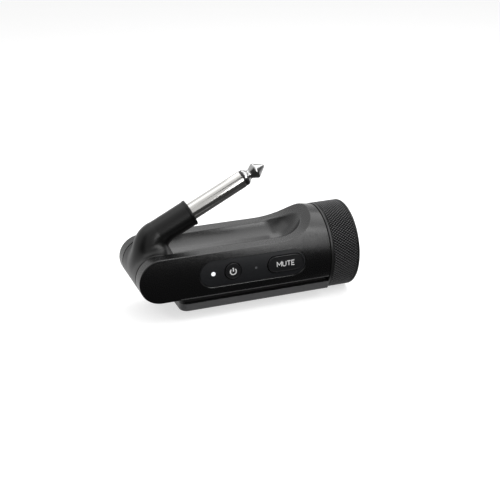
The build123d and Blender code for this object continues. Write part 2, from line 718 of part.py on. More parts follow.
def main():
    """Build and save every piece."""
    os.makedirs("parts", exist_ok=True)
    save("main_shell", main_shell())
    save("base_rail", base_rail())
    save("base_screws", *base_screws())
    save("brass_inserts", *brass_inserts())
    save("control_panel", control_panel())
    save("control_board", control_board())
    save("power_switch", tact_switch(POWER_X))
    save("mute_switch", tact_switch(MUTE_X))
    save("status_led", lamp(STATUS_X))
    save("mute_led", lamp(MUTE_LAMP_X))
    save("status_lens", light_pipe(STATUS_X, STATUS_R))
    save("mute_lens", light_pipe(MUTE_LAMP_X, MUTE_LAMP_R))
    save("main_board", main_board())
    save("board_screws", *board_screws())
    save("radio_can", radio_can())
    save("board_chips", *board_chips())
    save("antenna", antenna())
    save("battery_cell", battery_cell())
    save("battery_pad", battery_pad())
    save("battery_leads", *battery_leads())
    save("hinge_pins", *hinge_pins())
    save("hinge_leads", hinge_leads())
    save("sensor_board", sensor_board())
    save("hall_sensors", *hall_sensors())
    save("usb_shell", usb_shell())
    save("usb_tongue", usb_tongue())
    save("flex_cable", flex_cable())
    save("end_cap", end_cap())
    save("level_ring", level_ring())
    save("ring_magnets", *magnets())
    save("plug_elbow", plug_elbow())
    save("hinge_bushes", *hinge_bushes())
    save("plug_sleeve", plug_sleeve())
    save("plug_insulator", plug_insulator())
    save("plug_tip", plug_tip())
    save("tip_lug", tip_lug())
    save("plug_leads", *plug_leads())
    save("power_button", button_cap(power_prism()))
    save("power_plunger", plunger(POWER_X))
    save("mute_button", button_cap(mute_prism()))
    save("mute_plunger", plunger(MUTE_X))


if __name__ == "__main__":
    main()
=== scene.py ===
import math

import bmesh
import bpy
import numpy as np
from mathutils import Matrix, Vector


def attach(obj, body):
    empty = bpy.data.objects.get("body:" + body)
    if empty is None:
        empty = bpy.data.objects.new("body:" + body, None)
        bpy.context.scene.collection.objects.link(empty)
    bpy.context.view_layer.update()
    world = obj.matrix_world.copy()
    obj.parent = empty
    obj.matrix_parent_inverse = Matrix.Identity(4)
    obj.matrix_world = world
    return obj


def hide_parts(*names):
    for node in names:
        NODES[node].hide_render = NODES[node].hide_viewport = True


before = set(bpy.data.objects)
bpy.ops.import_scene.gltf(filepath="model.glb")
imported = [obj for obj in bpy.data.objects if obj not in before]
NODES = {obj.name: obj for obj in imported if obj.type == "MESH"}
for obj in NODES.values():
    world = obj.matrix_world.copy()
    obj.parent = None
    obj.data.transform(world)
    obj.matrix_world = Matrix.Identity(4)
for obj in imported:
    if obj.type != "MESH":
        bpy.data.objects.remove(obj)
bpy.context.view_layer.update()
MM = 0.001

# ---- sizes -------------------------------------------------------------------------------------
# Millimetres from the hinge axis, as in the CAD model: X along the body, Z up, -Y the control side.
# HINGE is where that axis lies in the frame, REST_ANGLE how far the plug is raised in it
HINGE = Vector((-33.78, 0.0, 17.2))
REST_ANGLE = math.radians(26.4)
BODY_LEFT, BODY_END = -10.0, 63.9
# Half width, half height and middle of the oval that the body's sides follow, at its two ends
LEFT_OVAL = (14.6, 26.9, 0.0)
RIGHT_OVAL = (16.05, 16.05, -0.95)
RING_Z = -0.95
RING_R, RING_START, RING_END = 16.25, 64.2, 75.8
RING_BORE_R, CAP_POCKET_R, SHOULDER_X = 13.95, 14.9, 74.3
# The ring's two smooth rims, and the fine line between each of them and the knurled band
RIM_WIDTH, LINE_WIDTH, LINE_DEPTH = 0.9, 0.25, 0.5
BAND_START = RING_START + RIM_WIDTH + LINE_WIDTH
BAND_END = RING_END - RIM_WIDTH - LINE_WIDTH
# The control strip: its lamps and buttons, and how far below the body's side a button lies
STRIP_Z = 0.35
STATUS_X, MUTE_LAMP_X = 18.8, 34.9
POWER_X, POWER_R = 26.2, 3.0
MUTE_X, MUTE_R, MUTE_HALF = 46.25, 3.05, 6.8
BUTTON_TOP, BUTTON_BACK = 0.1, 1.35
# The plug's parts, with the plug folded down along X
PLUG_Z, PLUG_R, BOOT_R, BOOT_END = 10.3, 3.175, 4.85, 22.7
SLEEVE_START, SLEEVE_END, TIP_START = 13.0, 44.8, 45.8
BARREL_R, BARREL_HALF = 8.24, 9.3
PLUG_ROOT_R, SLEEVE_BORE_R, INSULATOR_R, TIP_ROD_R = 2.9, 2.2, 3.0, 1.1
# The tip's outline: distance from its base, and radius there
TIP_PROFILE = (
    (0.0, 3.08), (0.7, 2.95), (1.9, 1.85), (2.5, 1.8), (4.5, 2.98), (5.0, 2.93), (8.1, 0.75),
    (8.5, 0.3), (8.57, 0.0),
)
# Heights above the floor between which the groove along the base lies, a band painted near-black as
# painted shade
GROOVE_LOW, GROOVE_HIGH = 6.9, 9.09


def placed(points):
    """Points given from the hinge axis, in millimetres, as points of the frame, in metres."""
    return (np.asarray(points, float) + np.array(HINGE)) * MM


def raised(points):
    """Turn points of the folded plug arm about the hinge up to the angle it rests at."""
    points = np.asarray(points, float)
    c, s = math.cos(REST_ANGLE), math.sin(REST_ANGLE)
    x, y, z = points.T
    return np.stack([x * c - z * s, y, x * s + z * c], axis=1)


def side_y(x, z, inset):
    """How far the body's near side stands out at a place on it, less an inset, as a Y value."""
    share = (np.asarray(x, float) - BODY_LEFT) / (BODY_END - BODY_LEFT)
    wide, tall, middle = (a + (b - a) * share for a, b in zip(LEFT_OVAL, RIGHT_OVAL))
    across = 1 - ((z - middle) / (tall - inset)) ** 2
    return -(wide - inset) * np.sqrt(np.clip(across, 0, 1))


# ---- mesh helpers ------------------------------------------------------------------------------
def make_object(name, points, faces, smooth_angle=35.0, weld=0.0):
    """A mesh object from points in metres. Edges sharper than the angle stay sharp."""
    mesh = bpy.data.meshes.new(name)
    mesh.from_pydata([tuple(p) for p in points], [], faces)
    obj = bpy.data.objects.new(name, mesh)
    bpy.context.scene.collection.objects.link(obj)
    work = bmesh.new()
    work.from_mesh(mesh)
    if weld:
        bmesh.ops.remove_doubles(work, verts=work.verts, dist=weld)
    bmesh.ops.recalc_face_normals(work, faces=work.faces)
    limit = math.radians(smooth_angle)
    for face in work.faces:
        face.smooth = True
    for edge in work.edges:
        edge.smooth = len(edge.link_faces) == 2 and edge.calc_face_angle(0.0) < limit
    work.to_mesh(mesh)
    work.free()
    return obj


def grid_faces(rows, columns, start=0):
    """Quads between rows of points, each row closed into a loop."""
    faces = []
    for r in range(rows - 1):
        for c in range(columns):
            n = (c + 1) % columns
            a, b = start + r * columns, start + (r + 1) * columns
            faces.append((a + c, a + n, b + n, b + c))
    return faces


def arc(x, z, radius, start, end, steps):
    """Points along an arc, from one angle to another, in degrees."""
    angles = [math.radians(start + (end - start) * n / steps) for n in range(steps + 1)]
    return [(x + radius * math.cos(a), z + radius * math.sin(a)) for a in angles]


def lathe_x(profile, columns, z):
    """Rows of points round an axis along X, one row for each (x, radius) of the profile."""
    angles = np.arange(columns) * 2 * math.pi / columns
    rows = []
    for x, radius in profile:
        ring = [np.full(columns, x), radius * np.cos(angles), z + radius * np.sin(angles)]
        rows.append(np.stack(ring, axis=1))
    return rows


def own(obj, material, body, *stands_for):
    """Finish a new piece: its material, the body it rides on and the nodes it stands for."""
    obj.data.materials.clear()
    obj.data.materials.append(material)
    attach(obj, body)
    if stands_for:
        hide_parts(*stands_for)


# ---- materials ---------------------------------------------------------------------------------
# The part of a noise's range that is spread over a whole change of value
NOISE_LOW, NOISE_HIGH = 0.3, 0.7
# Cells to the metre and change of colour of the broad marks in plastic, and on metal
FLOW_SCALE, FLOW_TINT = 90.0, 0.08
CLOUD_SCALE, CLOUD_TINT = 150.0, 0.07
# Heights in metres of the fine grain of plastic and of the tool marks on metal
GRAIN_HEIGHT, MARK_HEIGHT, MARK_STRENGTH = 0.00002, 0.00001, 0.06
# A lamp's glow fades between these shares of its reach
GLOW_FULL, GLOW_NONE = 0.75, 1.15


def new_material(name, colour, roughness, metallic=0.0, specular=0.5):
    """A material with its even values on the shader's own sockets."""
    material = bpy.data.materials.new(name)
    material.use_nodes = True
    shader = material.node_tree.nodes["Principled BSDF"]
    shader.inputs["Base Color"].default_value = (*colour, 1.0)
    shader.inputs["Roughness"].default_value = roughness
    shader.inputs["Metallic"].default_value = metallic
    shader.inputs["Specular IOR Level"].default_value = specular
    return material


def add_noise(material, scale, detail, stretch=(1.0, 1.0, 1.0)):
    """A noise in object space. Scale is in cells to the metre."""
    nodes, links = material.node_tree.nodes, material.node_tree.links
    place = nodes.new("ShaderNodeTexCoord")
    mapping = nodes.new("ShaderNodeMapping")
    mapping.inputs["Scale"].default_value = stretch
    noise = nodes.new("ShaderNodeTexNoise")
    noise.inputs["Scale"].default_value = scale
    noise.inputs["Detail"].default_value = detail
    links.new(place.outputs["Object"], mapping.inputs["Vector"])
    links.new(mapping.outputs["Vector"], noise.inputs["Vector"])
    return noise.outputs["Fac"]


def remap(tree, source, start, end, low, high, smooth=False):
    """A value that goes from low to high while its source goes from start to end."""
    level = tree.nodes.new("ShaderNodeMapRange")
    level.interpolation_type = "SMOOTHSTEP" if smooth else "LINEAR"
    limits = {"From Min": start, "From Max": end, "To Min": low, "To Max": high}
    for socket, value in limits.items():
        level.inputs[socket].default_value = value
    tree.links.new(source, level.inputs["Value"])
    return level.outputs["Result"]


def vary(material, socket, source, low, high):
    """Drive a shader value between two limits from a noise."""
    tree = material.node_tree
    level = remap(tree, source, NOISE_LOW, NOISE_HIGH, low, high)
    tree.links.new(level, tree.nodes["Principled BSDF"].inputs[socket])


def tint(material, source, dark, light):
    """Mix the base colour between two shades from a noise."""
    nodes, links = material.node_tree.nodes, material.node_tree.links
    ramp = nodes.new("ShaderNodeValToRGB")
    ends = ramp.color_ramp.elements
    for stop, position, colour in zip(ends, (NOISE_LOW, NOISE_HIGH), (dark, light)):
        stop.position = position
        stop.color = (*colour, 1.0)
    links.new(source, ramp.inputs["Fac"])
    links.new(ramp.outputs["Color"], nodes["Principled BSDF"].inputs["Base Color"])


def emboss(material, source, strength, height):
    """Raise a noise off the surface, by a strength and a height in metres."""
    nodes, links = material.node_tree.nodes, material.node_tree.links
    bump = nodes.new("ShaderNodeBump")
    bump.inputs["Strength"].default_value = strength
    bump.inputs["Distance"].default_value = height
    links.new(source, bump.inputs["Height"])
    links.new(bump.outputs["Normal"], nodes["Principled BSDF"].inputs["Normal"])


def moulded(name, colour, roughness, specular=0.5, grain=6000.0, strength=0.25, spread=0.04):
    """Moulded plastic or rubber: fine grain that breaks up the sheen, and faint flow marks."""
    material = new_material(name, colour, roughness, 0.0, specular)
    fine = add_noise(material, grain, 2.0)
    broad = add_noise(material, FLOW_SCALE, 4.0)
    darker = tuple(c * (1 - FLOW_TINT) for c in colour)
    lighter = tuple(c * (1 + FLOW_TINT) for c in colour)
    tint(material, broad, darker, lighter)
    vary(material, "Roughness", fine, roughness - spread, roughness + spread)
    emboss(material, fine, strength, GRAIN_HEIGHT)
    return material


def metal(name, colour, roughness, spread=0.03, lines=(1.0, 1.0, 1.0), scale=4000.0):
    """Bare or plated metal with fine tool marks."""
    material = new_material(name, colour, roughness, 1.0)
    marks = add_noise(material, scale, 2.0, lines)
    broad = add_noise(material, CLOUD_SCALE, 3.0)
    tint(material, broad, tuple(c * (1 - CLOUD_TINT) for c in colour), colour)
    vary(material, "Roughness", marks, roughness - spread, roughness + spread)
    emboss(material, marks, MARK_STRENGTH, MARK_HEIGHT)
    return material


def distance_from(tree, axes, centre):
    """How far the surface lies from a point, measured only along the axes that are set to 1."""
    place = tree.nodes.new("ShaderNodeTexCoord")
    flat = tree.nodes.new("ShaderNodeVectorMath")
    flat.operation = "MULTIPLY"
    flat.inputs[1].default_value = axes
    away = tree.nodes.new("ShaderNodeVectorMath")
    away.operation = "DISTANCE"
    away.inputs[1].default_value = centre
    tree.links.new(place.outputs["Object"], flat.inputs[0])
    tree.links.new(flat.outputs["Vector"], away.inputs[0])
    return away.outputs["Value"]


def lamp_material(name, colour, strength, x, reach):
    """A lit light pipe: bright in the middle, dark towards its edge. Reach is in millimetres."""
    material = new_material(name, (0.02, 0.02, 0.02), 0.25)
    tree = material.node_tree
    shader = tree.nodes["Principled BSDF"]
    shader.inputs["Emission Color"].default_value = (*colour, 1.0)
    middle = ((x + HINGE.x) * MM, 0, (STRIP_Z + HINGE.z) * MM)
    away = distance_from(tree, (1, 0, 1), middle)
    full, none = reach * GLOW_FULL * MM, reach * GLOW_NONE * MM
    glow = remap(tree, away, full, none, strength, 0.0, smooth=True)
    tree.links.new(glow, shader.inputs["Emission Strength"])
    return material


def recolour(material, share, colour):
    """Lay another colour over a material's own, by a share that goes from 0 to 1."""
    tree = material.node_tree
    base = tree.nodes["Principled BSDF"].inputs["Base Color"]
    mix = tree.nodes.new("ShaderNodeMix")
    mix.data_type = "RGBA"
    tree.links.new(share, mix.inputs["Factor"])
    tree.links.new(base.links[0].from_socket, mix.inputs["A"])
    mix.inputs["B"].default_value = (*colour, 1.0)
    tree.links.new(mix.outputs["Result"], base)


def paint_shade_band(material, axis, low, high, colour):
    """Lay a painted-shade colour over a band of a piece, between two places along an axis, in
    metres.
    """
    tree = material.node_tree
    place = tree.nodes.new("ShaderNodeTexCoord")
    split = tree.nodes.new("ShaderNodeSeparateXYZ")
    within = tree.nodes.new("ShaderNodeMath")
    within.operation = "COMPARE"
    within.inputs[1].default_value = (low + high) / 2
    within.inputs[2].default_value = (high - low) / 2
    tree.links.new(place.outputs["Object"], split.inputs["Vector"])
    tree.links.new(split.outputs[axis], within.inputs[0])
    recolour(material, within.outputs["Value"], colour)


def paint_pit_shade(material, pit, top, colour):
    """Paint shade on the ring's surface where it lies deep, from a radius up to another, in metres.
    """
    tree = material.node_tree
    radius = distance_from(tree, (0, 1, 1), (0, 0, (RING_Z + HINGE.z) * MM))
    recolour(material, remap(tree, radius, pit, top, 1.0, 0.0), colour)


# After its colour and roughness, a moulded material may give its specular level, the scale and the
# strength of its grain, and how far its roughness varies. A metal may give how far its roughness
# varies, how its marks are stretched, and their scale
BODY = moulded("body_soft_touch", (0.003, 0.003, 0.0032), 0.26, 0.5, 7000.0, 0.2)
RAIL = moulded("rail_plastic", (0.085, 0.085, 0.087), 0.5, 0.4, 5000.0, 0.3)
BASE = moulded("base_plastic", (0.085, 0.085, 0.087), 0.5, 0.4, 5000.0, 0.3)
# Painted shade: the groove along the base is painted near-black where its overhang keeps light out
paint_shade_band(BASE, "Z", GROOVE_LOW * MM, GROOVE_HIGH * MM, (0.002, 0.002, 0.002))
PANEL = moulded("panel_print", (0.012, 0.0125, 0.014), 0.42, 0.4, 5000.0, 0.12)
BUTTON = moulded("button_rubber", (0.006, 0.006, 0.007), 0.4, 0.45, 6000.0, 0.25)
RUBBER = moulded("elbow_rubber", (0.003, 0.003, 0.003), 0.34, 0.3, 5000.0, 0.3)
RING = moulded("ring_anodised", (0.075, 0.075, 0.077), 0.34, 0.25, 6000.0, 0.1, 0.03)
# The knurl is painted dark below the first radius, as painted shade in its pits, and keeps its own
# colour above the second
DARK_BELOW, LIGHT_ABOVE = RING_R - 0.26, RING_R - 0.1
paint_pit_shade(RING, DARK_BELOW * MM, LIGHT_ABOVE * MM, (0.001, 0.001, 0.001))
# The rims on either side of the knurled band are painted darker, out past the ends of the ring, as
# painted shade on the smooth rims
for low, high in ((RING_START - 1, BAND_START), (BAND_END, RING_END + 1)):
    rim = ((low + HINGE.x) * MM, (high + HINGE.x) * MM)
    paint_shade_band(RING, "X", *rim, (0.015, 0.015, 0.0152))
NICKEL = metal("nickel_turned", (0.64, 0.63, 0.61), 0.16, 0.05, (1.0, 0.06, 0.06))
CHROME = metal("chrome_turned", (0.4, 0.4, 0.4), 0.17)
STEEL = metal("ground_steel", (0.45, 0.45, 0.46), 0.28)
TIN = metal("tinned_steel", (0.55, 0.55, 0.56), 0.32)
BLACK_STEEL = metal("black_steel", (0.05, 0.05, 0.055), 0.35)
BRASS = metal("brass", (0.66, 0.5, 0.22), 0.28)
FOIL = metal("cell_foil", (0.5, 0.51, 0.53), 0.35, 0.05, (1.0, 1.0, 1.0), 900.0)
INSULATOR = moulded("insulator", (0.008, 0.008, 0.008), 0.22, 0.5, 3000.0, 0.05, 0.03)
WHITE_PRINT = moulded("white_print", (0.82, 0.82, 0.82), 0.5, 0.3, 8000.0, 0.1, 0.03)
BOARD = moulded("solder_resist", (0.01, 0.06, 0.03), 0.3, 0.5, 2500.0, 0.15)
CHIP = moulded("chip", (0.012, 0.012, 0.012), 0.45)
SWITCH = moulded("switch", (0.03, 0.03, 0.03), 0.45)
LIGHT = moulded("light_source", (0.7, 0.68, 0.55), 0.3)
FOAM = moulded("foam", (0.03, 0.03, 0.03), 0.9, 0.2, 1800.0, 0.8)
LEAD = moulded("lead_sleeving", (0.22, 0.01, 0.01), 0.45)
FLEX = moulded("flex_film", (0.25, 0.1, 0.015), 0.3)
BUSH = moulded("bush", (0.6, 0.58, 0.52), 0.35)
LIT = lamp_material("lit_lens", (0.93, 0.96, 1.0), 1.3, STATUS_X, 0.8)
DIM = lamp_material("dim_lens", (0.9, 0.92, 1.0), 0.06, MUTE_LAMP_X, 0.5)

LOOKS = {
    "main_shell": BODY, "base_rail": BASE, "base_screws": BLACK_STEEL, "brass_inserts": BRASS,
    "control_panel": PANEL, "control_board": BOARD, "power_switch": SWITCH, "mute_switch": SWITCH,
    "status_led": LIGHT, "mute_led": LIGHT, "status_lens": LIT, "mute_lens": DIM,
    "main_board": BOARD, "board_screws": BLACK_STEEL, "radio_can": TIN, "board_chips": CHIP,
    "antenna": BRASS, "battery_cell": FOIL, "battery_pad": FOAM, "battery_leads": LEAD,
    "hinge_pins": STEEL, "hinge_leads": LEAD, "sensor_board": BOARD, "hall_sensors": CHIP,
    "usb_shell": TIN, "usb_tongue": CHIP, "flex_cable": FLEX, "end_cap": RAIL,
    "level_ring": RING, "ring_magnets": CHROME, "plug_elbow": RUBBER, "hinge_bushes": BUSH,
    "plug_sleeve": NICKEL, "plug_insulator": INSULATOR, "plug_tip": CHROME, "tip_lug": BRASS,
    "plug_leads": LEAD, "power_button": BUTTON, "power_plunger": SWITCH, "mute_button": BUTTON,
    "mute_plunger": SWITCH,
}
for name, node in NODES.items():
    node.data.materials.clear()
    node.data.materials.append(LOOKS[name])


# ---- knurled ring ------------------------------------------------------------------------------
# Diamonds round the ring and half diamonds along the band, their depth and the share left flat
KNURL_AROUND, KNURL_HALVES = 96, 13
KNURL_DEPTH, KNURL_FLAT = 0.4, 0.35
# The ring's edges: a fine chamfer, the round on the body's side and the wide one at the free end
RING_CHIP, INNER_ROUND, OUTER_ROUND = 0.06, 0.15, 0.75


def ring_point(x, turn, radius):
    """A point at a place along the ring, a share of a turn round it and a radius."""
    angle = 2 * math.pi * turn
    return (x, radius * math.cos(angle), RING_Z + radius * math.sin(angle))


def knurl_band():
    """Points and faces of the band: a flat-topped pyramid in every diamond between the lines."""
    points, faces = [], []
    half = (BAND_END - BAND_START) / KNURL_HALVES
    for step in range(KNURL_HALVES + 1):
        x = BAND_START + half * step
        for slot in range(KNURL_AROUND):
            turn = (slot + 0.5 * ((step + 1) % 2)) / KNURL_AROUND
            add_diamond(points, faces, x, turn, half)
    return points, faces


def add_diamond(points, faces, x, turn, half):
    """Add one pyramid, cut off straight where it would pass the ends of the band."""
    reach = 0.5 / KNURL_AROUND
    left, right = max(x - half, BAND_START), min(x + half, BAND_END)
    corners = [(left, turn), (x, turn + reach), (right, turn), (x, turn - reach)]
    start = len(points)
    points.extend(ring_point(cx, ct, RING_R - KNURL_DEPTH) for cx, ct in corners)
    points.extend(
        ring_point(x + (cx - x) * KNURL_FLAT, turn + (ct - turn) * KNURL_FLAT, RING_R)
        for cx, ct in corners
    )
    for side in range(4):
        after = (side + 1) % 4
        faces.append((start + side, start + after, start + 4 + after, start + 4 + side))
    faces.append(tuple(start + 4 + side for side in range(4)))


def add_level_ring():
    """The whole ring: knurled band, two smooth rims behind fine lines, bore and cap pocket."""
    points, faces = knurl_band()
    root, floor = RING_R - KNURL_DEPTH, RING_R - LINE_DEPTH
    low, high = BAND_START - LINE_WIDTH, BAND_END + LINE_WIDTH
    profile = [(BAND_START, root), (BAND_START, floor), (low, floor), (low, RING_R - RING_CHIP)]
    profile.append((low - RING_CHIP, RING_R))
    profile.extend(arc(RING_START + INNER_ROUND, RING_R - INNER_ROUND, INNER_ROUND, 90, 180, 4))
    profile.extend([(RING_START, RING_BORE_R), (SHOULDER_X, RING_BORE_R)])
    profile.extend([(SHOULDER_X, CAP_POCKET_R), (RING_END - 2 * RING_CHIP, CAP_POCKET_R)])
    profile.append((RING_END, CAP_POCKET_R + 2 * RING_CHIP))
    profile.extend(arc(RING_END - OUTER_ROUND, RING_R - OUTER_ROUND, OUTER_ROUND, 0, 90, 10))
    profile.extend([(high + RING_CHIP, RING_R), (high, RING_R - RING_CHIP), (high, floor)])
    profile.extend([(BAND_END, floor), (BAND_END, root)])
    columns = 2 * KNURL_AROUND
    rows = lathe_x(profile, columns, RING_Z)
    start = len(points)
    for row in rows:
        points.extend(row)
    faces.extend(grid_faces(len(rows), columns, start))
    ring = make_object("knurled_ring", placed(points), faces, smooth_angle=20.0, weld=0.000002)
    own(ring, RING, "ring", "level_ring")


add_level_ring()


# ---- rubber elbow ------------------------------------------------------------------------------
# The curve, as (x, z), from the boot down into the barrel, and how wide it is at its foot
BEND = ((8.0, 10.3), (3.8, 10.4), (1.2, 3.0))
BEND_FOOT_R, BEND_STEPS = 6.6, 24
BARREL_ROUND, BOOT_ROUND = 0.5, 0.3
LIP_HEIGHT, LIP_HALF = 0.14, 0.5
# Room left for the plug and for the hinge pins
PLUG_GAP, BORE_DEPTH = 0.04, 1.2
PIN_BORE_R, PIN_BORE_START = 3.7, 4.9
# Fillets: on the back of the bend, how much wider in its crook, and at the mouths of the bores
BACK_FILLET, CROOK_EXTRA, MOUTH_FILLET = 2.5, 4.0, 0.25
# The fillet widens across a slanting belt: x against height, where it begins, and how wide it is
CROOK_SLANT, CROOK_START, CROOK_SPAN = 0.8, 4, 8
# The grid that the surface is found in, and how often its points are moved, evened out at first
NET_CELL = 0.26
NET_LOW = (-9.2, -9.9, -9.2)
NET_HIGH = (BOOT_END + 1.0, 9.9, PLUG_Z + 6.0)
NET_ROUNDS, EVENING_ROUNDS = 14, 8


def round_rod(across, along, radius, half, edge):
    """Distance to a rod with rounded edges, from how far a point is across and along it."""
    out_r, out_l = across - (radius - edge), along - (half - edge)
    inside = np.minimum(np.maximum(out_r, out_l), 0)
    return inside + np.hypot(np.maximum(out_r, 0), np.maximum(out_l, 0)) - edge


def blend_min(a, b, width):
    """The lesser of two distances, with a soft fillet where they meet."""
    share = np.clip(0.5 + 0.5 * (b - a) / width, 0, 1)
    return b + (a - b) * share - width * share * (1 - share)


def bend_distance(points):
    """Distance to a rod that curves from the boot down into the barrel and widens on its way."""
    start, pull, foot = (np.array([x, 0.0, z]) for x, z in BEND)
    knots = []
    for n in range(BEND_STEPS + 1):
        t = n / BEND_STEPS
        place = (1 - t) ** 2 * start + 2 * t * (1 - t) * pull + t * t * foot
        knots.append((place, BOOT_R + (BEND_FOOT_R - BOOT_R) * t))
    nearest = np.full(len(points), np.inf)
    for (a, wide_a), (b, wide_b) in zip(knots, knots[1:]):
        line = b - a
        share = np.clip(((points - a) @ line) / (line @ line), 0, 1)
        away = np.linalg.norm(points - a - share[:, None] * line, axis=1)
        nearest = np.minimum(nearest, away - wide_a - (wide_b - wide_a) * share)
    return nearest


def elbow_distance(points):
    """Distance from points to the elbow's surface, with the plug folded along X."""
    x, y, z = points.T
    barrel = round_rod(np.hypot(x, z), np.abs(y), BARREL_R, BARREL_HALF, BARREL_ROUND)
    across = np.hypot(y, z - PLUG_Z)
    middle, half = (BEND[0][0] + BOOT_END) / 2, (BOOT_END - BEND[0][0]) / 2
    boot = round_rod(across, np.abs(x - middle), BOOT_R, half, BOOT_ROUND)
    past_lip = np.abs(x - BOOT_END + LIP_HALF)
    lip = round_rod(across, past_lip, BOOT_R + LIP_HEIGHT, LIP_HALF, LIP_HEIGHT)
    arm = np.minimum(bend_distance(points), boot)
    side = np.clip((x - CROOK_SLANT * z + CROOK_START) / CROOK_SPAN, 0, 1)
    fillet = BACK_FILLET + CROOK_EXTRA * side * side * (3 - 2 * side)
    solid = np.minimum(blend_min(barrel, arm, fillet), lip)
    solid = np.maximum(solid, np.abs(y) - BARREL_HALF)
    bore = np.maximum(across - PLUG_R - PLUG_GAP, BOOT_END - BORE_DEPTH - x)
    pins = np.maximum(np.hypot(x, z) - PIN_BORE_R, PIN_BORE_START - np.abs(y))
    return -blend_min(-solid, np.minimum(bore, pins), MOUTH_FILLET)


def net_surface(distance, low, high, cell):
    """A quad mesh of the zero surface of a distance function, pulled exactly onto it."""
    axes = [np.arange(a, b + cell, cell) for a, b in zip(low, high)]
    shape = tuple(len(axis) for axis in axes)
    grid = np.stack(np.meshgrid(*axes, indexing="ij"), axis=-1).reshape(-1, 3)
    inside = (distance(grid) < 0).reshape(shape)
    corners = [inside[i: shape[0] - 1 + i, j: shape[1] - 1 + j, k: shape[2] - 1 + k]
               for i in (0, 1) for j in (0, 1) for k in (0, 1)]
    count = np.sum(corners, axis=0)
    mixed = (count > 0) & (count < 8)
    index = -np.ones(mixed.shape, int)
    index[mixed] = np.arange(mixed.sum())
    cells = np.argwhere(mixed)
    points = np.array(low) + (cells + 0.5) * cell
    faces = []
    for axis in range(3):
        ahead = [slice(None)] * 3
        behind = [slice(None)] * 3
        ahead[axis], behind[axis] = slice(1, None), slice(None, -1)
        change = inside[tuple(ahead)] != inside[tuple(behind)]
        u, v = [a for a in range(3) if a != axis]
        places = np.argwhere(change)
        places = places[(places[:, u] > 0) & (places[:, v] > 0)]
        quad = []
        for du, dv in ((0, 0), (-1, 0), (-1, -1), (0, -1)):
            spots = places.copy()
            spots[:, u] += du
            spots[:, v] += dv
            quad.append(index[tuple(spots.T)])
        faces.append(np.stack(quad, axis=1))
    faces = np.concatenate(faces)
    return pull_to_surface(distance, points, faces, cell)


def pull_to_surface(distance, points, faces, cell):
    """Even out the points of a rough net, then move each one onto the surface."""
    # How far apart the distance is measured for its slope, and the least slope that is trusted
    step, least_slope = cell * 0.05, 0.5
    for turn in range(NET_ROUNDS):
        if turn < EVENING_ROUNDS:
            total, weight = np.zeros_like(points), np.zeros(len(points))
            for a, b in ((0, 1), (1, 2), (2, 3), (3, 0)):
                for i, j in ((a, b), (b, a)):
                    np.add.at(total, faces[:, i], points[faces[:, j]])
                    np.add.at(weight, faces[:, i], 1)
            points = 0.5 * points + 0.5 * total / weight[:, None]
        slope = np.stack([
            (distance(points + step * axis) - distance(points - step * axis)) / (2 * step)
            for axis in np.eye(3)
        ], axis=1)
        size = np.maximum((slope ** 2).sum(axis=1), least_slope ** 2)
        move = np.clip(distance(points) / size, -cell, cell)
        points = points - slope * move[:, None]
    return points, faces.tolist()


elbow_points, elbow_faces = net_surface(elbow_distance, NET_LOW, NET_HIGH, NET_CELL)
elbow = make_object("rubber_elbow", placed(raised(elbow_points)), elbow_faces, smooth_angle=50.0)
own(elbow, RUBBER, "plug", "plug_elbow")


# ---- plug --------------------------------------------------------------------------------------
# How many straight pieces the rounds are made of, and the size of the rounds along the tip
EDGE_STEPS, TIP_STEPS, TIP_ROUND = 3, 6, 0.35


def add_turned(name, outline, material, node):
    """A turned piece of the plug, from a closed outline in (x, radius) along the plug's axis."""
    columns = 128
    hollow = max(outline[0][1], outline[-1][1]) > 0
    rows = lathe_x(outline + outline[:1] if hollow else outline, columns, PLUG_Z)
    points = np.concatenate(rows)
    faces = grid_faces(len(rows), columns)
    piece = make_object(name, placed(raised(points)), faces, smooth_angle=30.0, weld=0.0000005)
    own(piece, material, "plug", node)


def rounded(outline, edge=0.12):
    """A closed outline with each of its corners cut back into a small round."""
    result = []
    for n, here in enumerate(outline):
        after = outline[(n + 1) % len(outline)]
        result.extend(soft_corner(outline[n - 1], here, after, edge, EDGE_STEPS))
    return result


def open_rounded(outline):
    """The same rounding for an outline whose two end points stay where they are."""
    result = [outline[0]]
    for before, here, after in zip(outline, outline[1:], outline[2:]):
        result.extend(soft_corner(before, here, after, TIP_ROUND, TIP_STEPS))
    return result + [outline[-1]]


def soft_corner(before, here, after, edge, steps):
    """A short curve that cuts a corner, tangent to the lines on either side of it."""
    before, here, after = np.array(before), np.array(here), np.array(after)
    a, b = before - here, after - here
    long_a, long_b = np.linalg.norm(a), np.linalg.norm(b)
    # Never so far that two rounds would meet on a short side
    reach = min(edge, long_a * 0.45, long_b * 0.45)
    p, q = here + a / long_a * reach, here + b / long_b * reach
    curve = []
    for k in range(steps + 1):
        t = k / steps
        curve.append(tuple((1 - t) ** 2 * p + 2 * t * (1 - t) * here + t * t * q))
    return curve


# The root, which sits in the boot, is thinner than the sleeve; the other parts begin behind it
ROOT_END, FULL_START = BOOT_END - 1.0, BOOT_END - 0.9
INSULATOR_START, TIP_ROD_START = SLEEVE_START - 1.0, SLEEVE_START - 2.6

add_turned("turned_sleeve", rounded([
    (SLEEVE_START, SLEEVE_BORE_R), (SLEEVE_START, PLUG_ROOT_R), (ROOT_END, PLUG_ROOT_R),
    (FULL_START, PLUG_R), (SLEEVE_END, PLUG_R), (SLEEVE_END, SLEEVE_BORE_R),
]), NICKEL, "plug_sleeve")
add_turned("insulator_ring", rounded([
    (INSULATOR_START, TIP_ROD_R), (INSULATOR_START, SLEEVE_BORE_R),
    (SLEEVE_END, SLEEVE_BORE_R), (SLEEVE_END, INSULATOR_R), (TIP_START, INSULATOR_R),
    (TIP_START, TIP_ROD_R),
], 0.08), INSULATOR, "plug_insulator")
add_turned("turned_tip", [
    (TIP_ROD_START, 0.0), (TIP_ROD_START, TIP_ROD_R), (TIP_START, TIP_ROD_R),
] + open_rounded([(TIP_START + x, radius) for x, radius in TIP_PROFILE]), CHROME, "plug_tip")


